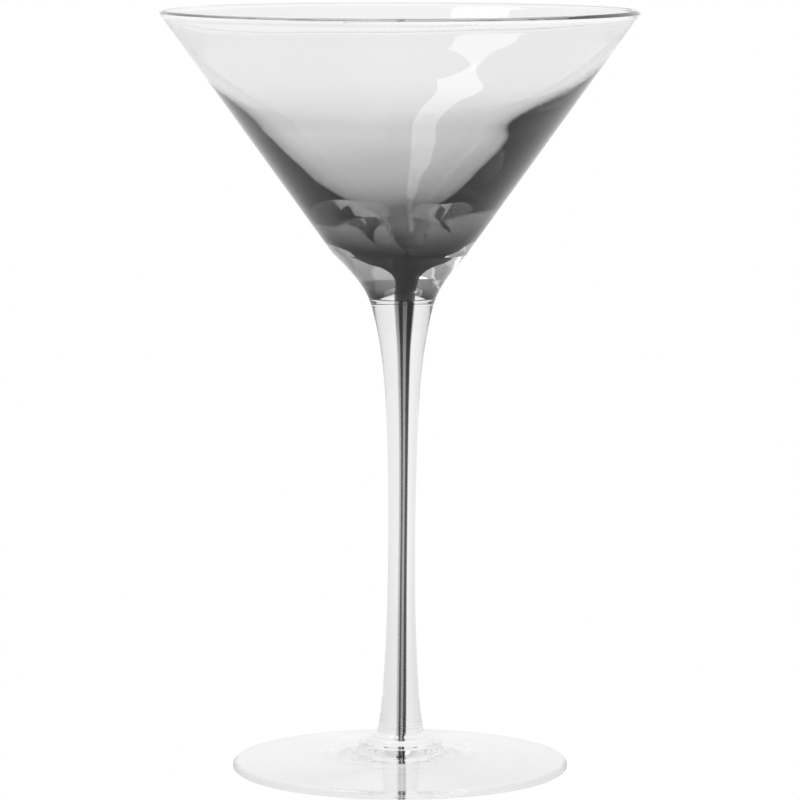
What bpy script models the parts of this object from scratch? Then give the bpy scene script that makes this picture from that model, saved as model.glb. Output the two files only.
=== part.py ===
"""Martini glass, mouth-blown: a clear bowl lined with smoke-grey glass, a stem with a smoke thread, a foot.

Every piece is turned round the +Z axis. The origin is the middle of the ring that the glass stands on.
All sizes are in metres. Pieces that are fused on the real glass are kept a small gap apart here.
"""
import bpy
import numpy as np
from math import cos, hypot, pi, sin

MM = 0.001
GAP = 0.3 * MM                    # clearance between two pieces that touch

# ---- driving dimensions -------------------------------------------------------------------
HEIGHT = 186.0 * MM               # foot to lip
LIP_RADIUS = 58.2 * MM            # widest radius, just below the top of the lip
LIP_WALL = 1.5 * MM               # wall thickness at the lip
BOWL_SLOPE = 0.717                # radius gained for each metre of height on the outside of the bowl
CONE_FOOT = 127.0 * MM            # height where the straight cone turns into the cove above the stem
JOINT_HEIGHT = 116.0 * MM         # the plane where the bowl is stuck to the stem

WELL_HEIGHT = 127.0 * MM          # lowest point inside the bowl
LINING_RADIUS = 44.0 * MM         # radius of the drinking surface where the smoke lining ends
FUNNEL_END_RADIUS = 2.1 * MM      # smoke core at the joint plane

THREAD_TOP_RADIUS = 1.9 * MM
THREAD_RADIUS = 0.9 * MM
THREAD_TAPER = 34.0 * MM          # length over which the thread draws down to its even radius

STEM_FOOT = 9.4 * MM              # underside of the stem, on the collar
COLLAR_FOOT = 6.0 * MM            # underside of the collar, on the foot
COLLAR_RADIUS = 10.4 * MM

FOOT_RADIUS = 41.15 * MM
FOOT_EDGE = 2.2 * MM              # thickness of the foot's rounded edge
FOOT_CROWN = COLLAR_FOOT - GAP    # thickness of the foot under the collar
RING_INNER = 37.6 * MM            # the narrow flat ring the glass rests on
RING_OUTER = 39.9 * MM

BOWL_STEPS = 64                   # flats round the bowl and the foot
STEM_STEPS = 40
THREAD_STEPS = 20

# Height and outer radius of the cove and the stem, from the bowl down to the foot, in millimetres
STEM_STATIONS = ((127.0, 16.4), (123.0, 12.7), (120.5, 10.75), (118.0, 9.15), (115.6, 8.05),
                 (110.7, 6.7), (105.8, 5.75), (100.0, 4.9), (91.0, 4.15), (78.0, 3.6),
                 (58.0, 3.3), (42.0, 3.45), (31.0, 3.8), (21.5, 4.3), (14.0, 4.95), (9.4, 5.7))

# Radius and height of the drinking surface, from the well up to the thin wall, in millimetres
WELL_STATIONS = ((0.0, 127.0), (3.0, 128.1), (6.0, 130.2), (10.0, 133.9), (15.0, 138.3), (21.0, 144.2),
                 (28.0, 151.2), (36.0, 159.5), (44.0, 168.6), (52.0, 178.9), (56.6, 185.3))

# Radius of the drinking surface and thickness of the smoke lining under it, in millimetres
LINING_STATIONS = ((6.0, 1.4), (10.0, 1.1), (15.0, 0.9), (28.0, 0.7), (44.0, 0.5))

LINING_RADII = [radius * MM for radius in (44.0, 36.0, 28.0, 21.0, 15.0, 10.0, 6.0)]
FUNNEL_TOP_RADIUS = 6.0 * MM      # the lining runs into the funnel at this radius

# Drop below the lining and radius of the smoke funnel under the well, in millimetres
FUNNEL_STATIONS = ((0.0, 6.2), (2.5, 5.2), (5.0, 4.0), (8.0, 2.9), (12.6, 2.1))
FUNNEL_DROPS = (1.2, 2.5, 4.0, 5.5, 7.5, 10.0)

# Heights of the rings that shape the cove and the stem, in millimetres
COVE_HEIGHTS = (125.0, 123.0, 120.5, 118.0)
STEM_HEIGHTS = (111.0, 106.0, 100.0, 91.0, 78.0, 58.0, 42.0, 31.0, 21.5, 14.0)

# Steps of the collar: distance out from the stem and drop below the collar's top, in millimetres
COLLAR_STEPS = ((0.75, 0.35), (0.95, 0.8), (1.5, 1.25), (2.4, 1.5), (2.8, 1.95), (3.8, 2.35), (4.5, 2.55))

# Radius and height of the foot's upper side and of its hollow underside, in millimetres
FOOT_TOP_STATIONS = ((14.0, 4.95), (20.0, 4.25), (30.0, 3.25))
FOOT_HOLLOW_STATIONS = ((35.0, 0.3), (30.0, 0.85), (22.0, 1.6), (12.0, 2.35), (0.0, 2.8))


# ---- curves -------------------------------------------------------------------------------
def smooth_through(stations, places):
    """Values at the given places on a smooth curve through (place, value) stations, with no overshoot."""
    ordered = sorted(stations)
    x = np.array([station[0] for station in ordered])
    y = np.array([station[1] for station in ordered])
    step = np.diff(x)
    rise = np.diff(y) / step
    slope = np.zeros(len(x))
    slope[0] = rise[0]
    slope[-1] = rise[-1]
    for i in range(1, len(x) - 1):
        if rise[i - 1] * rise[i] > 0:
            weight_before = 2 * step[i] + step[i - 1]
            weight_after = step[i] + 2 * step[i - 1]
            slope[i] = (weight_before + weight_after) / (weight_before / rise[i - 1] + weight_after / rise[i])
    places = np.asarray(places, dtype=float)
    k = np.clip(np.searchsorted(x, places) - 1, 0, len(x) - 2)
    u = (places - x[k]) / step[k]
    return ((2 * u**3 - 3 * u**2 + 1) * y[k] + (u**3 - 2 * u**2 + u) * step[k] * slope[k]
            + (3 * u**2 - 2 * u**3) * y[k + 1] + (u**3 - u**2) * step[k] * slope[k + 1])


def stem_radius(height):
    """Outer radius of the cove and the stem at a height."""
    return float(smooth_through(STEM_STATIONS, [height / MM])[0]) * MM


def well_height(radius):
    """Height of the drinking surface at a radius."""
    return float(smooth_through(WELL_STATIONS, [radius / MM])[0]) * MM


def bowl_radius(height):
    """Outer radius of the straight cone at a height."""
    return LIP_RADIUS - BOWL_SLOPE * (HEIGHT - LIP_WALL / 2 - height)


def under_well(radius, depth):
    """The point a given depth into the glass below the drinking surface, square to it."""
    reach = 0.2 * MM
    rise = well_height(radius + reach) - well_height(max(radius - reach, 0.0))
    run = radius + reach - max(radius - reach, 0.0)
    length = hypot(run, rise)
    return (radius + depth * rise / length, well_height(radius) - depth * run / length)


def lining_thickness(radius):
    return float(smooth_through(LINING_STATIONS, [radius / MM])[0]) * MM


def arc(centre, radius, start_degrees, end_degrees, points):
    """Points on an arc in the profile plane, both ends included."""
    result = []
    for i in range(points):
        angle = (start_degrees + (end_degrees - start_degrees) * i / (points - 1)) * pi / 180
        result.append((centre[0] + radius * cos(angle), centre[1] + radius * sin(angle)))
    return result


# ---- scene --------------------------------------------------------------------------------
def clear_scene():
    for thing in list(bpy.data.objects):
        bpy.data.objects.remove(thing, do_unlink=True)


def new_collection(name):
    collection = bpy.data.collections.new(name)
    bpy.context.scene.collection.children.link(collection)
    return collection


def glass_material(name, colour, roughness=0.0, ior=1.5):
    material = bpy.data.materials.new(name)
    material.use_nodes = True
    shader = material.node_tree.nodes["Principled BSDF"]
    shader.inputs["Base Color"].default_value = (*colour, 1.0)
    shader.inputs["Metallic"].default_value = 0.0
    shader.inputs["Roughness"].default_value = roughness
    shader.inputs["IOR"].default_value = ior
    shader.inputs["Transmission Weight"].default_value = 1.0
    return material


def turned(name, profile, closed, steps, material, collection):
    """Turn a profile in the XZ plane round the Z axis. Its outer side runs down, top to bottom."""
    points = [(radius, 0.0, height) for radius, height in profile]
    edges = [(i, i + 1) for i in range(len(points) - 1)]
    if closed:
        edges.append((len(points) - 1, 0))
    mesh = bpy.data.meshes.new(name)
    mesh.from_pydata(points, edges, [])
    mesh.materials.append(material)
    piece = bpy.data.objects.new(name, mesh)
    collection.objects.link(piece)
    screw = piece.modifiers.new("turn", "SCREW")
    screw.axis = "Z"
    screw.angle = 2 * pi
    screw.steps = steps
    screw.render_steps = steps
    screw.use_merge_vertices = True
    screw.merge_threshold = 0.00001
    screw.use_smooth_shade = True
    return piece


# ---- profiles -----------------------------------------------------------------------------
def funnel_line(clearance):
    """The smoke funnel's outer side from the lining down to the joint plane, moved out by a clearance."""
    edge = under_well(FUNNEL_TOP_RADIUS, lining_thickness(FUNNEL_TOP_RADIUS) + clearance)
    line = []
    for drop in FUNNEL_DROPS:
        radius = float(smooth_through(FUNNEL_STATIONS, [drop])[0]) * MM
        line.append((radius + clearance, edge[1] - drop * MM))
    line.append((FUNNEL_END_RADIUS + clearance, JOINT_HEIGHT))
    return line


def bowl_casing_profile():
    """Lip, straight cone, cove, then back up round the smoke funnel and lining to the drinking surface."""
    lip_centre = (LIP_RADIUS - LIP_WALL / 2, HEIGHT - LIP_WALL / 2)
    profile = arc(lip_centre, LIP_WALL / 2, 90, -20, 5)
    profile.append((bowl_radius(CONE_FOOT), CONE_FOOT))
    for height in COVE_HEIGHTS:
        profile.append((stem_radius(height * MM), height * MM))
    profile.append((stem_radius(JOINT_HEIGHT), JOINT_HEIGHT))
    profile += reversed(funnel_line(GAP))
    for radius in reversed(LINING_RADII):
        profile.append(under_well(radius, lining_thickness(radius) + GAP))
    ledge = LINING_RADIUS + GAP
    profile.append(under_well(ledge, lining_thickness(LINING_RADIUS) + GAP))
    profile.append(under_well(ledge, 0.0))
    for radius in (48.0, 52.0, 55.0):
        profile.append((radius * MM, well_height(radius * MM)))
    profile.append((LIP_RADIUS - LIP_WALL, HEIGHT - LIP_WALL / 2))
    return profile


def bowl_smoke_profile():
    """The drinking surface up from the well, over the lining's edge, and down the smoke funnel."""
    profile = [(0.0, WELL_HEIGHT)]
    for radius in (1.5, 3.0):
        profile.append((radius * MM, well_height(radius * MM)))
    for radius in reversed(LINING_RADII):
        profile.append((radius, well_height(radius)))
    for radius in LINING_RADII:
        profile.append(under_well(radius, lining_thickness(radius)))
    profile += funnel_line(0.0)
    profile.append((0.0, JOINT_HEIGHT))
    return profile


def thread_radius(height):
    """The thread draws down from its top radius to an even radius."""
    drawn = min((JOINT_HEIGHT - GAP - height) / THREAD_TAPER, 1.0)
    return THREAD_TOP_RADIUS + (THREAD_RADIUS - THREAD_TOP_RADIUS) * (1 - (1 - drawn) ** 2)


THREAD_HEIGHTS = [JOINT_HEIGHT - GAP - THREAD_TAPER * part for part in (0.0, 0.2, 0.45, 1.0)] + [STEM_FOOT]


def stem_profile():
    """Outside down from the joint plane to the collar, then up the bore that holds the thread."""
    top = JOINT_HEIGHT - GAP
    heights = [top] + [height * MM for height in STEM_HEIGHTS] + [STEM_FOOT]
    outside = [(stem_radius(height), height) for height in heights]
    bore = [(thread_radius(height) + GAP, height) for height in reversed(THREAD_HEIGHTS)]
    return outside + bore


def stem_thread_profile():
    side = [(thread_radius(height), height) for height in THREAD_HEIGHTS]
    return [(0.0, side[0][1])] + side + [(0.0, side[-1][1])]


def foot_collar_profile():
    """A weld bead in two soft steps, spreading from the stem to the foot."""
    top = STEM_FOOT - GAP
    stem_side = stem_radius(STEM_FOOT)
    profile = [(0.0, top), (stem_side, top)]
    for out, drop in COLLAR_STEPS:
        profile.append((stem_side + out * MM, top - drop * MM))
    profile.append((COLLAR_RADIUS, COLLAR_FOOT))
    profile.append((0.0, COLLAR_FOOT))
    return profile


def foot_profile():
    """A flat crown under the collar, a shallow slope to a rounded edge, and an underside hollowed to match."""
    edge_centre = (FOOT_RADIUS - FOOT_EDGE / 2, FOOT_EDGE / 2)
    profile = [(0.0, FOOT_CROWN), (COLLAR_RADIUS + GAP, FOOT_CROWN)]
    profile += [(radius * MM, height * MM) for radius, height in FOOT_TOP_STATIONS]
    profile += arc(edge_centre, FOOT_EDGE / 2, 88, -45, 6)
    profile += [(RING_OUTER, 0.0), (RING_INNER, 0.0)]
    profile += [(radius * MM, height * MM) for radius, height in FOOT_HOLLOW_STATIONS]
    return profile


# ---- the glass ----------------------------------------------------------------------------
def build():
    clear_scene()
    glass = new_collection("martini_glass")
    clear = glass_material("clear_blown_glass", (0.95, 0.96, 0.96))
    smoke = glass_material("smoke_grey_glass", (0.12, 0.12, 0.13))
    turned("bowl_casing", bowl_casing_profile(), True, BOWL_STEPS, clear, glass)
    turned("bowl_smoke_lining", bowl_smoke_profile(), False, BOWL_STEPS, smoke, glass)
    turned("stem", stem_profile(), True, STEM_STEPS, clear, glass)
    turned("stem_smoke_thread", stem_thread_profile(), False, THREAD_STEPS, smoke, glass)
    turned("foot_collar", foot_collar_profile(), False, STEM_STEPS, clear, glass)
    turned("foot", foot_profile(), False, BOWL_STEPS, clear, glass)


build()
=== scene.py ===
# %% [markdown]
# # A martini glass, lined with smoke-grey glass
#
# The real glass is blown by hand in three jobs. A gather of dark grey glass is cased in
# clear glass and blown into a cone, a stem is drawn and stuck on under it, and a foot is
# shaped on the far end of the stem. This lesson builds each of those pieces as its own
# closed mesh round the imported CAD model, so that light bends through them as it does
# through the real ones.
#
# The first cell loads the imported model. Its boxes say where everything goes. Sizes of the
# glass are in millimetres. The camera, the table and the lamp are placed in metres, as
# Blender counts.

# %% Load the frame
import math

import bpy
import numpy as np
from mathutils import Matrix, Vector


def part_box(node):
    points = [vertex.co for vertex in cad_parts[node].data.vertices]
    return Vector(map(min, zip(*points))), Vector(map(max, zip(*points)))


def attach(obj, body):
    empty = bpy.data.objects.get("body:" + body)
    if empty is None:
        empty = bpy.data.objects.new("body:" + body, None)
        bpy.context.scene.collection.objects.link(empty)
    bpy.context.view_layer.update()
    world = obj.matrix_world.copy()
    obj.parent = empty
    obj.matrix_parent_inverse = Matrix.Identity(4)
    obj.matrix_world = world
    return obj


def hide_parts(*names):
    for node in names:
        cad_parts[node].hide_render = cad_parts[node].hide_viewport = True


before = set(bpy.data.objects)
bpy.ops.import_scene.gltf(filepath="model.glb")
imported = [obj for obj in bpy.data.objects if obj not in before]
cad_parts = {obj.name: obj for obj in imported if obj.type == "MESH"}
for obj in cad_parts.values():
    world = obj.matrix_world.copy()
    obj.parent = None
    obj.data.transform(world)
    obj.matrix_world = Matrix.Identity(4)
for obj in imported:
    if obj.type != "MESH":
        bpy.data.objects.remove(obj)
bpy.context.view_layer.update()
MM = 0.001
print("CAD nodes:", ", ".join(sorted(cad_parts)))

# %% [markdown]
# ## The camera
#
# The glass is seen from a little above, from more than a metre away, with a long lens.
# A short lens close by would bow the sides of the cone and open up the ellipse of the
# lip. A long one keeps the sides straight and the ellipse thin.

# %% Camera
CAMERA_BACK = 1.1597
CAMERA_HEIGHT = 0.2278
CAMERA_DOWN_DEGREES = 6.725
LENS_MM = 215.4
SENSOR_MM = 36.0
NEAREST_SEEN = 0.01

camera_data = bpy.data.cameras.new("camera")
camera_data.lens = LENS_MM
camera_data.sensor_width = SENSOR_MM
camera_data.clip_start = NEAREST_SEEN
camera = bpy.data.objects.new("camera", camera_data)
camera.location = (0.0, -CAMERA_BACK, CAMERA_HEIGHT)
camera.rotation_euler = (math.radians(90.0 - CAMERA_DOWN_DEGREES), 0.0, 0.0)
bpy.context.scene.collection.objects.link(camera)
bpy.context.scene.camera = camera
print("camera is", round(CAMERA_BACK / MM), "mm in front of the glass")

# %% [markdown]
# ## Two helpers for materials
#
# Colours are written as sRGB hex values, as in any paint program, and Cycles wants
# linear light, so one function turns the first into the second. Another one adds a
# shader node with its settings and its links, which keeps the materials short.

# %% Material helpers
def linear(hex_colour):
    """An sRGB hex colour such as "f2f2f0" as linear red, green, blue and alpha."""
    channels = [int(hex_colour[i:i + 2], 16) / 255 for i in (0, 2, 4)]
    return (*[c / 12.92 if c <= 0.04045 else ((c + 0.055) / 1.055) ** 2.4 for c in channels], 1.0)


def add_node(tree, kind, inputs=None, **settings):
    """Adds a node. An input is a value, or the output socket of another node to link."""
    node = tree.nodes.new(kind)
    for name, value in settings.items():
        setattr(node, name, value)
    for name, value in (inputs or {}).items():
        if isinstance(value, bpy.types.NodeSocket):
            tree.links.new(value, node.inputs[name])
        else:
            node.inputs[name].default_value = value
    return node


def new_material(name):
    """An empty node material and its tree."""
    material = bpy.data.materials.new(name)
    material.use_nodes = True
    material.node_tree.nodes.clear()
    return material, material.node_tree


print("hex f2f2f0 is", [round(c, 3) for c in linear("f2f2f0")])

# %% [markdown]
# ## The clear glass
#
# The casing, stem, collar and foot are lead-free crystal, worked hot and fire polished.
# Heat smooths the skin until it is as good as a lens, so the roughness is almost nothing
# and what the eye sees is bent light. Hand work still leaves faint cords, which are bands
# of slightly uneven skin: round the bowl where it was turned against a wet wooden block,
# along the stem where it was drawn, and in rings on the foot. They are a few thousandths
# of a millimetre high and a few millimetres apart, and they go in as a faint bump.

# %% Clear glass
GLASS_IOR = 1.5
CORD_SPACING_MM = {"bowl": (9.0, 9.0, 2.6), "stem": (1.6, 1.6, 14.0), "foot": (5.0, 5.0, 5.0)}
CORD_HEIGHT_MM = {"bowl": 0.004, "stem": 0.006, "foot": 0.008}


def clear_crystal(name, part, tint):
    """Fire-polished clear crystal, with the cords that belong to that part of the glass."""
    material, tree = new_material(name)
    place = add_node(tree, "ShaderNodeTexCoord")
    stretch = add_node(tree, "ShaderNodeMapping", {
        "Vector": place.outputs["Object"],
        "Scale": [1.0 / (spacing * MM) for spacing in CORD_SPACING_MM[part]]})
    cords = add_node(tree, "ShaderNodeTexNoise", {
        "Vector": stretch.outputs["Vector"], "Scale": 1.0, "Detail": 1.0, "Roughness": 0.4})
    bump = add_node(tree, "ShaderNodeBump", {
        "Height": cords.outputs["Fac"], "Strength": 1.0, "Distance": CORD_HEIGHT_MM[part] * MM})
    shader = add_node(tree, "ShaderNodeBsdfPrincipled", {
        "Base Color": linear(tint), "Roughness": 0.0, "IOR": GLASS_IOR,
        "Transmission Weight": 1.0, "Normal": bump.outputs["Normal"]})
    add_node(tree, "ShaderNodeOutputMaterial", {"Surface": shader.outputs["BSDF"]})
    return material


bowl_crystal = clear_crystal("fire_polished_clear_crystal", "bowl", "ffffff")
stem_crystal = clear_crystal("drawn_clear_crystal", "stem", "f7f7f7")
foot_crystal = clear_crystal("paddled_clear_crystal", "foot", "fbfbfb")
print("clear materials:", bowl_crystal.name, stem_crystal.name, foot_crystal.name)

# %% [markdown]
# ## The smoke glass and the fused joints
#
# The grey glass is a soda glass coloured through with nickel and iron oxides. It sits
# wholly inside the clear glass and the two bend light almost alike, so its boundary
# can't be seen and only the dark inside it can: light that crosses a millimetre of it
# loses most of itself. That is a volume, and the surface round it has an IOR of 1.
#
# Where two clear pieces were fused hot there is no surface at all. Their end faces get
# a see-through finish, so that light crosses from one into the other unbent.

# %% Smoke glass and fused joints
SMOKE_PER_METRE = 1230.0
THREAD_PER_METRE = 4000.0


def smoke_glass(name, per_metre, tint):
    """Grey glass coloured through, with no visible boundary against the clear glass."""
    material, tree = new_material(name)
    shader = add_node(tree, "ShaderNodeBsdfPrincipled", {
        "Base Color": linear("ffffff"), "Roughness": 0.0, "IOR": 1.0, "Transmission Weight": 1.0})
    body = add_node(tree, "ShaderNodeVolumeAbsorption", {"Color": linear(tint), "Density": per_metre})
    add_node(tree, "ShaderNodeOutputMaterial", {
        "Surface": shader.outputs["BSDF"], "Volume": body.outputs["Volume"]})
    return material


smoke_lining = smoke_glass("cased_smoke_glass", SMOKE_PER_METRE, "000000")
smoke_thread = smoke_glass("drawn_smoke_glass", THREAD_PER_METRE, "000000")

fused_joint, joint_tree = new_material("fused_joint")
see_through = add_node(joint_tree, "ShaderNodeBsdfTransparent", {"Color": linear("ffffff")})
add_node(joint_tree, "ShaderNodeOutputMaterial", {"Surface": see_through.outputs["BSDF"]})
print("half the light is gone after", round(math.log(2) / SMOKE_PER_METRE / MM, 2), "mm of smoke glass")

# %% [markdown]
# ## Shapes from a few stations
#
# A blown form has no corners, so each outline is given as a few stations, a height and a
# radius each, with a smooth curve through them. A Bezier curve object could draw it, but
# this one never overshoots between two stations, and any piece can ask it for a radius.

# %% Smooth curve
def smooth_through(stations, places):
    """Values at the given places on a smooth curve through (place, value) stations."""
    x, y = np.array(sorted(stations), float).T
    step = np.diff(x)
    rise = np.diff(y) / step
    slope = np.concatenate([rise[:1], np.zeros(len(x) - 2), rise[-1:]])
    for i in range(1, len(x) - 1):
        if rise[i - 1] * rise[i] > 0:
            before, after = 2 * step[i] + step[i - 1], step[i] + 2 * step[i - 1]
            slope[i] = (before + after) / (before / rise[i - 1] + after / rise[i])
    places = np.asarray(places, float)
    k = np.clip(np.searchsorted(x, places) - 1, 0, len(x) - 2)
    u = (places - x[k]) / step[k]
    return ((2 * u**3 - 3 * u**2 + 1) * y[k] + (u**3 - 2 * u**2 + u) * step[k] * slope[k]
            + (3 * u**2 - 2 * u**3) * y[k + 1] + (u**3 - u**2) * step[k] * slope[k + 1])


TEST_STATIONS = ((0.0, 1.0), (1.0, 2.0), (2.0, 2.5))
print("half way up the curve is at", round(float(smooth_through(TEST_STATIONS, [1.5])[0]), 3))

# %% [markdown]
# ## Turning an outline
#
# Glass is shaped while it turns on the iron, so each piece is its outline carried round
# the axis. A Screw modifier could do that. A function does it here, because it can also
# give the fused ends their own finish and hand every ring to another function that moves
# its points a little: nothing made by hand is perfectly round.

# %% Turning
TURNS = 192
SAME_POINT = 1e-4
ON_AXIS = 1e-6


def turn(name, stretches, materials):
    """A closed mesh turned from stretches of (radius and height in mm, material number, hand).

    A hand is a function that moves the points of a ring a little, or None."""
    angles = 2 * math.pi * np.arange(TURNS) / TURNS
    vertices, rings, finishes, last = [], [], [], None
    for points, finish, hand in stretches:
        for radius, height in points:
            if last is not None and math.dist(last, (radius, height)) < SAME_POINT:
                continue
            last = (radius, height)
            if radius < ON_AXIS:
                ring = np.array([[0.0, 0.0, height]])
                rings.append([len(vertices)] * TURNS)
            else:
                ring = np.column_stack([radius * np.cos(angles), radius * np.sin(angles),
                                        np.full(TURNS, height)])
                rings.append(list(range(len(vertices), len(vertices) + TURNS)))
            finishes.append(finish)
            vertices += (hand(ring) if hand else ring).tolist()
    faces, numbers = [], []
    for i in range(len(rings) - 1):
        for k in range(TURNS):
            corners = (rings[i][k - 1], rings[i + 1][k - 1], rings[i + 1][k], rings[i][k])
            faces.append(tuple(dict.fromkeys(corners)))
            numbers.append(finishes[i + 1])
    mesh = bpy.data.meshes.new(name)
    mesh.from_pydata((np.array(vertices) * MM).tolist(), [], faces)
    for material in materials:
        mesh.materials.append(material)
    mesh.polygons.foreach_set("material_index", numbers)
    mesh.polygons.foreach_set("use_smooth", [True] * len(faces))
    mesh.update()
    piece = bpy.data.objects.new(name, mesh)
    bpy.context.scene.collection.objects.link(piece)
    print(name, "has", len(rings), "rings and", len(faces), "faces")
    return piece


print("each ring has", TURNS, "points, one every", 360 / TURNS, "degrees")

# %% [markdown]
# ## Standing for the CAD model
#
# A finished piece rides on a body and takes the place of its CAD node, which is hidden.
# Nothing on a glass moves, so every piece rides on the one body.

# %% Standing for a CAD node
def stand_for(piece, node):
    """The piece rides on the one body and takes the place of its CAD node, which is hidden."""
    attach(piece, "root")
    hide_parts(node)


print("nodes that need a piece:", len(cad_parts))

# %% [markdown]
# ## Where everything sits
#
# The main heights and the radius of the lip are read from the boxes of the CAD nodes.
# They could be typed in, but read like this they can't drift away from the CAD model.

# %% Main sizes
LIP_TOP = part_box("bowl_casing")[1].z / MM
LIP_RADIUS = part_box("bowl_casing")[1].x / MM
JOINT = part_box("bowl_casing")[0].z / MM
STEM_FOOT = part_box("stem")[0].z / MM
COLLAR_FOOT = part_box("foot_collar")[0].z / MM
print("the lip is", round(LIP_TOP, 2), "mm up, with a radius of", round(LIP_RADIUS, 2), "mm")
print("joint", round(JOINT, 2), "stem foot", round(STEM_FOOT, 2), "collar foot", round(COLLAR_FOOT, 2))

# %% [markdown]
# ## The drinking surface
#
# Inside, the bowl is a cone with a small soft well at the bottom. The wall is thin at the
# lip and thickens downwards, because hot glass sags towards the stem. A Solidify modifier
# would make a wall of one thickness, so the inside gets an outline of its own. It is drawn
# first, because the smoke lining has to follow it.

# %% Drinking surface and outside of the bowl
CONE_SLOPE = 0.717
LIP_ZONE = 0.7
CONE_TOP = LIP_TOP - LIP_ZONE
CONE_FOOT = 127.0
INSIDE_RADIUS = 56.6
INSIDE_RINGS = 142
OUTSIDE = ((127.0, 16.4), (123.0, 12.7), (120.5, 10.75), (118.0, 9.15), (115.6, 8.05), (110.7, 6.7),
           (105.8, 5.75), (100.0, 4.9), (91.0, 4.15), (78.0, 3.6), (58.0, 3.3), (42.0, 3.45),
           (31.0, 3.8), (21.5, 4.3), (14.0, 4.95), (9.4, 5.7))
INSIDE = ((0.0, 127.7), (3.0, 128.9), (6.0, 130.7), (10.0, 133.9), (15.0, 138.1), (21.0, 143.2),
          (28.0, 150.0), (36.0, 158.3), (44.0, 166.8), (52.0, 177.95), (INSIDE_RADIUS, 185.6))


def cone_radius(height):
    """Outer radius of the straight cone."""
    return LIP_RADIUS - CONE_SLOPE * (CONE_TOP - height)


inside_radii = np.linspace(0.0, INSIDE_RADIUS, INSIDE_RINGS)
inside = np.column_stack([inside_radii, smooth_through(INSIDE, inside_radii)])
along = np.gradient(inside, axis=0)
along /= np.linalg.norm(along, axis=1)[:, None]
into_glass = np.column_stack([along[:, 1], -along[:, 0]])
print("the well is", round(inside[0, 1], 1), "mm up")
print("the bowl is", round(LIP_TOP - inside[0, 1], 1), "mm deep")

# %% [markdown]
# ## The hand of the maker
#
# Nothing blown by hand is quite round or quite centred. The stem went on a little to the
# right, the well ended up beside the middle, and the wet block left slow waves in the
# wall. A Displace modifier would move the inside and the outside alike, so each of these
# is a function that moves the points of a ring after it is turned. The waves are only
# hundredths of a millimetre high, but thick glass is a strong lens, and it makes the dark
# and light patches at the bottom of the bowl wander.

# %% The hand of the maker
STEM_LEAN = ((9.4, 0.12), (40.0, 0.3), (80.0, 0.55), (105.0, 0.62), (118.0, 0.5), (127.0, 0.1),
             (134.0, 0.0))
WELL_LEAN = ((4.0, 0.2), (9.4, 0.27), (40.0, 0.5), (80.0, 0.8), (105.0, 0.87), (118.0, 0.95),
             (124.0, 1.25), (129.0, 1.3), (135.0, 0.0), (141.0, -1.1), (147.0, -1.3), (157.0, -1.1),
             (167.5, -0.42), (178.0, -0.15), (186.0, 0.0))
RIPPLE = ((116.0, 0.0), (128.0, 0.3), (140.0, 1.0), (160.0, 1.0), (175.0, 0.5), (186.0, 0.05))
# Height in mm, number of waves round the bowl, how slowly they wind upwards, and where they start.
WAVES = ((0.05, 2, 19.0, 0.6), (0.04, 3, -11.0, 0.0), (0.02, 7, 4.3, 0.0), (0.012, 11, -3.1, 0.0))
CALM_RADIUS = 12.0
BEVEL_SWAY = 0.2


def outer_hand(ring):
    """The stem was stuck on a little to the right of the bowl's middle."""
    ring[:, 0] += smooth_through(STEM_LEAN, ring[:, 2])
    return ring


def inner_hand(ring):
    """The drinking surface is off centre, so one side is thicker, and it ripples a little."""
    x, y, z = ring.T
    angle = np.arctan2(y, x)
    wave = sum(height * np.cos(count * angle + z / pitch + start)
               for height, count, pitch, start in WAVES)
    reach = smooth_through(RIPPLE, z) * wave * np.minimum(np.hypot(x, y) / CALM_RADIUS, 1.0)
    ring[:, 0] += smooth_through(WELL_LEAN, z) + reach * np.cos(angle)
    ring[:, 1] += reach * np.sin(angle)
    return ring


def lip_hand(ring):
    """The lip was ground a little deeper on the right."""
    side = ring[:, 0] / np.hypot(ring[:, 0], ring[:, 1])
    ring[:, 2] = LIP_TOP - (LIP_TOP - ring[:, 2]) * (1.0 + BEVEL_SWAY * side)
    return ring


print("the well is", max(abs(lean) for _, lean in WELL_LEAN), "mm off centre at most")

# %% [markdown]
# ## The lip
#
# The lip was cracked off cold, ground flat with a sloping outer edge and then melted just
# enough to be smooth. A Bevel modifier could round the corners, but it would round every
# edge of the mesh, so the three corners of the lip are rounded in the outline itself.
#
# Light that goes in through the ground slope is trapped in the wall and soaked up by the
# grey glass further down, which is why a clear lip shows a dark line.

# %% Lip
BEVEL_WIDTH = 1.15
BEVEL_DROP = 0.64
INNER_ROUNDING = 0.15
OUTER_ROUNDING = 0.08
CORNER_POINTS = 6


def rounded(corner, before, after, radius):
    """Points on a curve that rounds off a corner between its two neighbours."""
    corner, before, after = (np.array(point, float) for point in (corner, before, after))
    start = corner + (before - corner) / np.linalg.norm(before - corner) * radius
    end = corner + (after - corner) / np.linalg.norm(after - corner) * radius
    share = np.linspace(0.0, 1.0, CORNER_POINTS)[:, None]
    return (1 - share) ** 2 * start + 2 * share * (1 - share) * corner + share**2 * end


lip_inner = (INSIDE_RADIUS + INNER_ROUNDING, LIP_TOP)
bevel_top = (LIP_RADIUS - BEVEL_WIDTH, LIP_TOP)
bevel_foot = (LIP_RADIUS, LIP_TOP - BEVEL_DROP)
lip = np.vstack([rounded(lip_inner, inside[-1], bevel_top, INNER_ROUNDING),
                 rounded(bevel_top, lip_inner, bevel_foot, OUTER_ROUNDING),
                 rounded(bevel_foot, bevel_top, (cone_radius(CONE_FOOT), CONE_FOOT), OUTER_ROUNDING)])
slope_degrees = math.degrees(math.atan2(BEVEL_DROP, BEVEL_WIDTH))
print("the ground edge slopes by", round(slope_degrees, 1), "degrees")

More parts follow.
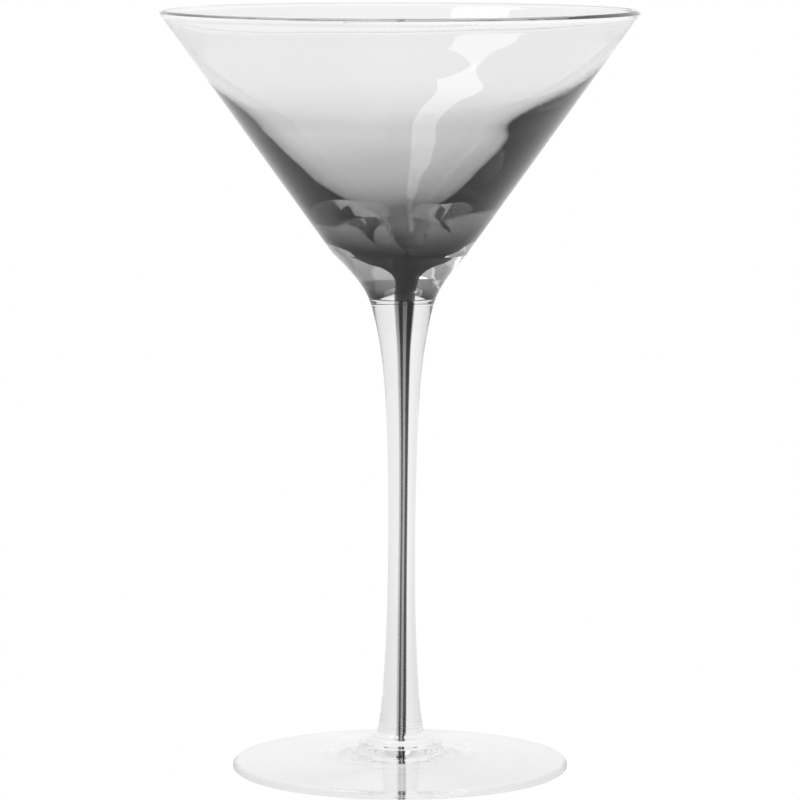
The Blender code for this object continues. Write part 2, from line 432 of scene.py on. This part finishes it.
# %% [markdown]
# ## The bowl of clear glass
#
# One closed mesh holds the whole clear skin of the bowl: the drinking surface, the lip,
# the straight cone, the cove that sweeps in above the stem, and the flat end that is
# fused to the stem. Separate inner and outer skins would be quicker to draw, but light
# only bends properly through a closed mesh.

# %% Bowl of clear glass
DISC_RINGS = 6
CONE_RINGS = 50
COVE_RINGS = 40
BELOW_LIP = 0.3
ABOVE_COVE = 0.2


def disc(radius, height, outwards):
    """Rings of a flat end, from the middle outwards or back."""
    shares = np.linspace(0.0, 1.0, DISC_RINGS) if outwards else np.linspace(1.0, 0.0, DISC_RINGS)
    return [(radius * share, height) for share in shares]


cone_heights = np.linspace(CONE_TOP - BELOW_LIP, CONE_FOOT + ABOVE_COVE, CONE_RINGS)
cone = np.column_stack([cone_radius(cone_heights), cone_heights])
cove_heights = np.linspace(CONE_FOOT, JOINT, COVE_RINGS)
cove = np.column_stack([smooth_through(OUTSIDE, cove_heights), cove_heights])
seam = disc(cove[-1, 0], JOINT, outwards=False)

bowl_glass = turn("bowl_glass", [(inside, 0, inner_hand), (lip, 0, lip_hand), (cone, 0, None),
                                 (cove, 0, outer_hand), (seam, 1, outer_hand)],
                  [bowl_crystal, fused_joint])
stand_for(bowl_glass, "bowl_casing")

# %% [markdown]
# ## The smoke lining
#
# The grey glass lies just under the drinking surface. It is more than a millimetre thick
# round the well and thins to a few hundredths at the lip, because it was blown out with
# the bowl. Under the well it runs together into a funnel and goes down into the stem. A
# colour ramp up the bowl could fake the shading, but it would look the same from every
# side. A real layer of changing thickness is darker wherever light crosses more of it.

# %% Smoke lining
SKIN = 0.02
SMALL_GAP = 0.01
LINING = ((6.0, 1.1), (10.0, 0.62), (15.0, 0.42), (21.0, 0.33), (28.0, 0.165), (36.0, 0.108),
          (44.0, 0.058), (52.0, 0.045), (56.4, 0.05))
FUNNEL = ((1.2, 4.8), (2.8, 3.4), (4.4, 2.5), (7.3, 1.85), (11.0, 1.72), (14.0, 1.7))
FUNNEL_RINGS = 40

lined = inside_radii <= LINING[-1][0]
lining_inner = inside[lined] + into_glass[lined] * SKIN
# The first point stays on the axis, so that the mesh is closed there.
lining_inner[0, 0] = 0.0
thick = (inside_radii >= LINING[0][0]) & lined
thickness = np.exp(smooth_through([(r, math.log(t)) for r, t in LINING], inside_radii[thick]))
lining_outer = (inside[thick] + into_glass[thick] * (SKIN + thickness[:, None]))[::-1]
funnel_top = lining_outer[-1]
funnel_heights = np.linspace(funnel_top[1], JOINT + SMALL_GAP, FUNNEL_RINGS)
funnel_radii = smooth_through([(0.0, funnel_top[0]), *FUNNEL], funnel_top[1] - funnel_heights)
funnel = np.column_stack([funnel_radii, funnel_heights])
bowl_smoke = turn("bowl_smoke", [(lining_inner, 0, inner_hand), (lining_outer, 0, inner_hand),
                                 (funnel, 0, inner_hand), ([(0.0, JOINT + SMALL_GAP)], 0, inner_hand)],
                  [smoke_lining])
stand_for(bowl_smoke, "bowl_smoke_lining")
print("the lining is", round(thickness.min(), 3), "to", round(thickness.max(), 2), "mm thick")

# %% [markdown]
# ## The stem
#
# The stem was drawn out hot, so it narrows smoothly to a waist below its middle and widens
# again towards the foot. A cylinder scaled at its ends would have a straight waist, so
# the stem goes on with the outline of the cove. It has many rings, because the edge of a
# glass rod bends light so strongly that every kink in the mesh shows.

# %% Stem of clear glass
STEM_RINGS = 260

stem_heights = np.linspace(JOINT, STEM_FOOT, STEM_RINGS)
stem_side = np.column_stack([smooth_through(OUTSIDE, stem_heights), stem_heights])
stem_top = disc(stem_side[0, 0], JOINT - SMALL_GAP / 2, outwards=True)
stem_end = disc(stem_side[-1, 0], STEM_FOOT, outwards=False)
stem_glass = turn("stem_glass", [(stem_top, 1, outer_hand), (stem_side[1:], 0, outer_hand),
                                 (stem_end, 1, outer_hand)],
                  [stem_crystal, fused_joint])
stand_for(stem_glass, "stem")
print("the stem is", round(2 * stem_side[:, 0].min(), 1), "mm thick at its thinnest")

# %% [markdown]
# ## The thread in the stem
#
# The stem has the layers of the bowl: clear outside, and grey at the heart, drawn down
# together until the grey is a thread less than two millimetres wide. The simplest way to
# make it would be one thin cylinder, but pulling folded the grey glass into two darker
# strands with a thin web between them, so a light line runs down its middle. The stem is
# a strong lens too and shows the thread half as wide again as it is.

# %% Thread of smoke glass
STRANDS = ((-0.36, 0.22), (0.55, 0.30))
STRAND_DEPTH = 1.1
WEB = 0.14
THREAD_END = 4.2
THREAD_RINGS = 110
THREAD = ((116.0, 1.75), (110.0, 1.45), (104.0, 1.15), (96.0, 0.98), (80.0, 0.8), (58.0, 0.74),
          (30.0, 0.8), (9.5, 0.85), (THREAD_END, 0.6))


def strand_hand(ring):
    """Two dark strands drawn out side by side with a thin web between them."""
    reach = np.hypot(ring[:, 0], ring[:, 1])
    across = ring[:, 0] / np.maximum(reach, ON_AXIS)
    depth = WEB * np.sqrt(np.maximum(1.0 - across**2, 0.0))
    for centre, half_width in STRANDS:
        depth += STRAND_DEPTH * np.sqrt(np.maximum(half_width**2 - (across - centre) ** 2, 0.0))
    ring[:, 0] += smooth_through(WELL_LEAN, ring[:, 2])
    ring[:, 1] = np.sign(ring[:, 1]) * reach * depth
    return ring


thread_heights = np.linspace(JOINT - 2 * SMALL_GAP, THREAD_END, THREAD_RINGS)
thread_side = np.column_stack([smooth_through(THREAD, thread_heights), thread_heights])
thread_tip = [(0.0, thread_heights[0])]
thread_tail = [(0.0, thread_heights[-1])]
stem_smoke = turn("stem_smoke", [(thread_tip, 0, strand_hand), (thread_side, 0, strand_hand),
                                 (thread_tail, 0, strand_hand)],
                  [smoke_thread])
stand_for(stem_smoke, "stem_smoke_thread")
print("the thread is", round(2 * thread_side[:, 0].min(), 2), "mm wide at its thinnest")

# %% [markdown]
# ## The collar
#
# Where the foot was dropped on the end of the stem, hot glass ran up and stayed as a small
# stepped collar. A torus or two would be quick, but they would not run into each other as
# soft glass does. The collar is one outline with shallow steps in it, turned like the rest.

# %% Collar
COLLAR_SIDE = ((5.75, 9.2), (5.95, 8.95), (6.3, 8.75), (6.75, 8.6), (7.0, 8.35), (7.1, 8.05), (7.4, 7.8),
               (7.9, 7.62), (8.25, 7.4), (8.4, 7.1), (8.7, 6.85), (9.2, 6.7), (9.7, 6.55), (10.1, 6.35),
               (10.25, 6.15), (10.2, 6.0))
COLLAR_INSET = 0.05

collar_top = disc(COLLAR_SIDE[0][0] - COLLAR_INSET, STEM_FOOT - SMALL_GAP, outwards=True)
crown_radius = COLLAR_SIDE[-1][0]
collar_end = disc(crown_radius, COLLAR_FOOT, outwards=False)
foot_collar_glass = turn("foot_collar_glass", [(collar_top, 1, outer_hand), (COLLAR_SIDE, 0, outer_hand),
                                               (collar_end, 1, outer_hand)],
                         [foot_crystal, fused_joint])
stand_for(foot_collar_glass, "foot_collar")
print("the collar is", round(STEM_FOOT - COLLAR_FOOT, 1), "mm high")

# %% [markdown]
# ## The foot
#
# The foot is a second gather, pressed out flat with a wooden paddle while it turned. It
# is two to three millimetres thick all over: its underside is hollowed to follow the top,
# with a shallow step where the iron that held the glass was cracked off, and only the rim
# touches the table. A flat underside would be simpler, but the foot would then be a lens,
# and one of even thickness lets the table show through evenly.

# %% Foot
FOOT_TOP = ((10.2, 5.99), (14.0, 5.2), (20.0, 4.4), (30.0, 3.25), (39.8, 2.15))
FOOT_EDGE = ((40.4, 2.02), (40.85, 1.72), (41.08, 1.35), (41.15, 1.0), (41.08, 0.62), (40.85, 0.3),
             (40.5, 0.08), (40.1, 0.0))
FOOT_UNDER = ((19.0, 2.1), (24.0, 1.6), (30.0, 1.0), (36.0, 0.35), (39.0, 0.05), (39.8, 0.0))
PUNTY_MARK = ((19.2, 2.1), (18.6, 2.3), (16.0, 2.45), (12.0, 2.65), (8.0, 2.8), (4.0, 2.9), (0.0, 2.93))
FOOT_TOP_RINGS = 60
FOOT_UNDER_RINGS = 40
PAST_CROWN = 0.2
PAST_MARK = 0.6

foot_crown = disc(crown_radius, COLLAR_FOOT - SMALL_GAP, outwards=True)
top_radii = np.linspace(FOOT_TOP[0][0] + PAST_CROWN, FOOT_TOP[-1][0], FOOT_TOP_RINGS)
foot_top = np.column_stack([top_radii, smooth_through(FOOT_TOP, top_radii)])
under_radii = np.linspace(FOOT_UNDER[-1][0], FOOT_UNDER[0][0] + PAST_MARK, FOOT_UNDER_RINGS)
foot_under = np.column_stack([under_radii, smooth_through(FOOT_UNDER, under_radii)])
foot_glass = turn("foot_glass", [(foot_crown, 1, None), (foot_top, 0, None), (FOOT_EDGE, 0, None),
                                 (foot_under, 0, None), (PUNTY_MARK, 0, None)],
                  [foot_crystal, fused_joint])
stand_for(foot_glass, "foot")
print("the foot is", 2 * max(radius for radius, _ in FOOT_EDGE), "mm across")

# %% [markdown]
# ## The table and the tent
#
# Clear glass has no look of its own: it shows whatever stands behind it and beside it.
# Such a glass is shown in a white tent on white acrylic, lit mainly from behind. The back
# of the tent is the brightest, the front is about three quarters as bright, and a band
# between them, level with the glass, is the dimmest. Those differences are all that draws
# the edges of the stem and the foot. A ring of lamps could do it, but lamps would show as
# separate streaks, so the brightness follows smooth curves along two directions. Seen
# directly, table and tent are the same plain white.

# %% Helpers for graded light
def light_curve(tree, socket, stations, interpolation):
    """A brightness that follows a smooth curve of stations along one direction."""
    low, high = stations[0][0], stations[-1][0]
    share = add_node(tree, "ShaderNodeMapRange", {"Value": socket, "From Min": low, "From Max": high})
    ramp = add_node(tree, "ShaderNodeValToRGB", {"Fac": share.outputs["Result"]})
    ramp.color_ramp.interpolation = interpolation
    for _ in range(len(stations) - 2):
        ramp.color_ramp.elements.new(0.5)
    for element, (place, value) in zip(ramp.color_ramp.elements, stations):
        element.position = (place - low) / (high - low)
        element.color = (value, value, value, 1.0)
    return ramp.outputs["Color"]


def product(tree, first, second):
    """Two brightnesses multiplied."""
    both = add_node(tree, "ShaderNodeVectorMath", {0: first, 1: second}, operation="MULTIPLY")
    return both.outputs["Vector"]


def white_when_seen(tree, light, kind):
    """Plain white to the camera, and the graded light to everything else."""
    graded = add_node(tree, kind, {"Color": light, "Strength": 1.0})
    plain = add_node(tree, kind, {"Color": linear("ffffff"), "Strength": 1.0})
    ray = add_node(tree, "ShaderNodeLightPath")
    seen = add_node(tree, "ShaderNodeMixShader", {"Fac": ray.outputs["Is Camera Ray"]})
    tree.links.new(graded.outputs[0], seen.inputs[1])
    tree.links.new(plain.outputs[0], seen.inputs[2])
    return seen.outputs[0]


print("plain white is", [round(channel, 3) for channel in linear("ffffff")])

# %% [markdown]
# ## The tent
#
# The tent is the world. TENT_LIGHT runs from the front, at -1, to the back, at 1, and
# SIDE_LIGHT runs from the left to the right. Their product is the light from any side.

# %% Tent
TENT_LIGHT = ((-1.0, 0.74), (-0.3, 0.66), (-0.05, 0.55), (0.2, 0.74), (0.55, 0.96), (1.0, 1.0))
SIDE_LIGHT = ((-1.0, 0.96), (-0.7, 0.86), (-0.5, 0.95), (-0.2, 1.0), (0.1, 0.98), (0.4, 0.92),
              (0.7, 0.89), (1.0, 0.91))

world = bpy.data.worlds.new("white_tent")
bpy.context.scene.world = world
world.use_nodes = True
tent = world.node_tree
tent.nodes.clear()
direction = add_node(tent, "ShaderNodeTexCoord")
axes = add_node(tent, "ShaderNodeSeparateXYZ", {"Vector": direction.outputs["Generated"]})
tent_light = product(tent, light_curve(tent, axes.outputs["Y"], TENT_LIGHT, "B_SPLINE"),
                     light_curve(tent, axes.outputs["X"], SIDE_LIGHT, "B_SPLINE"))
add_node(tent, "ShaderNodeOutputWorld", {
    "Surface": white_when_seen(tent, tent_light, "ShaderNodeBackground")})
print("the tent's light runs from", min(value for _, value in TENT_LIGHT), "to",
      max(value for _, value in TENT_LIGHT))

# %% [markdown]
# ## The table
#
# The table is a round sheet of white acrylic, far wider than the view, so that its edge
# never shows. It glows by itself, brighter towards the back. A lit white surface would be
# dimmed under the foot, where the glass keeps the light away.

# %% Table
TABLE_LIGHT = ((-0.30, 0.72), (0.04, 0.90), (0.30, 1.0))
TABLE_RADIUS = 4.0
TABLE_CORNERS = 64
BELOW_FOOT_MM = 0.1

table_finish, table_tree = new_material("white_acrylic_table")
spot = add_node(table_tree, "ShaderNodeTexCoord")
spot_axes = add_node(table_tree, "ShaderNodeSeparateXYZ", {"Vector": spot.outputs["Object"]})
way_out = add_node(table_tree, "ShaderNodeVectorMath", {0: spot.outputs["Object"]},
                   operation="NORMALIZE")
way_axes = add_node(table_tree, "ShaderNodeSeparateXYZ", {"Vector": way_out.outputs["Vector"]})
table_light = product(table_tree,
                      light_curve(table_tree, spot_axes.outputs["Y"], TABLE_LIGHT, "EASE"),
                      light_curve(table_tree, way_axes.outputs["X"], SIDE_LIGHT, "B_SPLINE"))
add_node(table_tree, "ShaderNodeOutputMaterial", {
    "Surface": white_when_seen(table_tree, table_light, "ShaderNodeEmission")})

table_mesh = bpy.data.meshes.new("table")
table_angles = 2 * math.pi * np.arange(TABLE_CORNERS) / TABLE_CORNERS
table_rim = [(TABLE_RADIUS * math.cos(angle), TABLE_RADIUS * math.sin(angle), -BELOW_FOOT_MM * MM)
             for angle in table_angles]
table_mesh.from_pydata(table_rim, [], [tuple(range(TABLE_CORNERS))])
table_mesh.materials.append(table_finish)
table = bpy.data.objects.new("table", table_mesh)
bpy.context.scene.collection.objects.link(table)
print("the table is", 2 * TABLE_RADIUS, "m across")

# %% [markdown]
# ## The softbox
#
# One soft lamp hangs more than a metre up, to the left and a little behind. The far wall
# of the cone leans outwards, so it works as a mirror that looks up, and the lamp appears
# in it as one long pale patch. A patch painted on the glass would stay where it is when
# the glass is seen from another side. A reflection moves, as it should.

# %% Softbox
SOFTBOX_WIDTH = 0.26
SOFTBOX_DEPTH = 0.48
SOFTBOX_PLACE = (-0.37, 0.11, 1.1)
SOFTBOX_BRIGHTNESS = 3.3

softbox_data = bpy.data.lights.new("overhead_softbox", "AREA")
softbox_data.shape = "RECTANGLE"
softbox_data.size = SOFTBOX_WIDTH
softbox_data.size_y = SOFTBOX_DEPTH
softbox_data.energy = SOFTBOX_BRIGHTNESS * math.pi * SOFTBOX_WIDTH * SOFTBOX_DEPTH
softbox = bpy.data.objects.new("overhead_softbox", softbox_data)
softbox.location = SOFTBOX_PLACE
bpy.context.scene.collection.objects.link(softbox)
print("the softbox gives", round(softbox_data.energy, 2), "W")

# %% [markdown]
# ## The view and the bounces
#
# The Standard view keeps a white tent white, where a filmic one would turn it grey. Light
# bounces dozens of times inside a thin foot before it comes out at the rim. If the
# renderer gave up earlier, that rim would come out black, so it may go on for longer.

# %% View and bounces
BOUNCES = 96

scene = bpy.context.scene
scene.view_settings.view_transform = "Standard"
scene.cycles.max_bounces = BOUNCES
scene.cycles.transmission_bounces = BOUNCES
scene.cycles.glossy_bounces = BOUNCES
scene.cycles.transparent_max_bounces = BOUNCES
print("light may bounce", BOUNCES, "times")
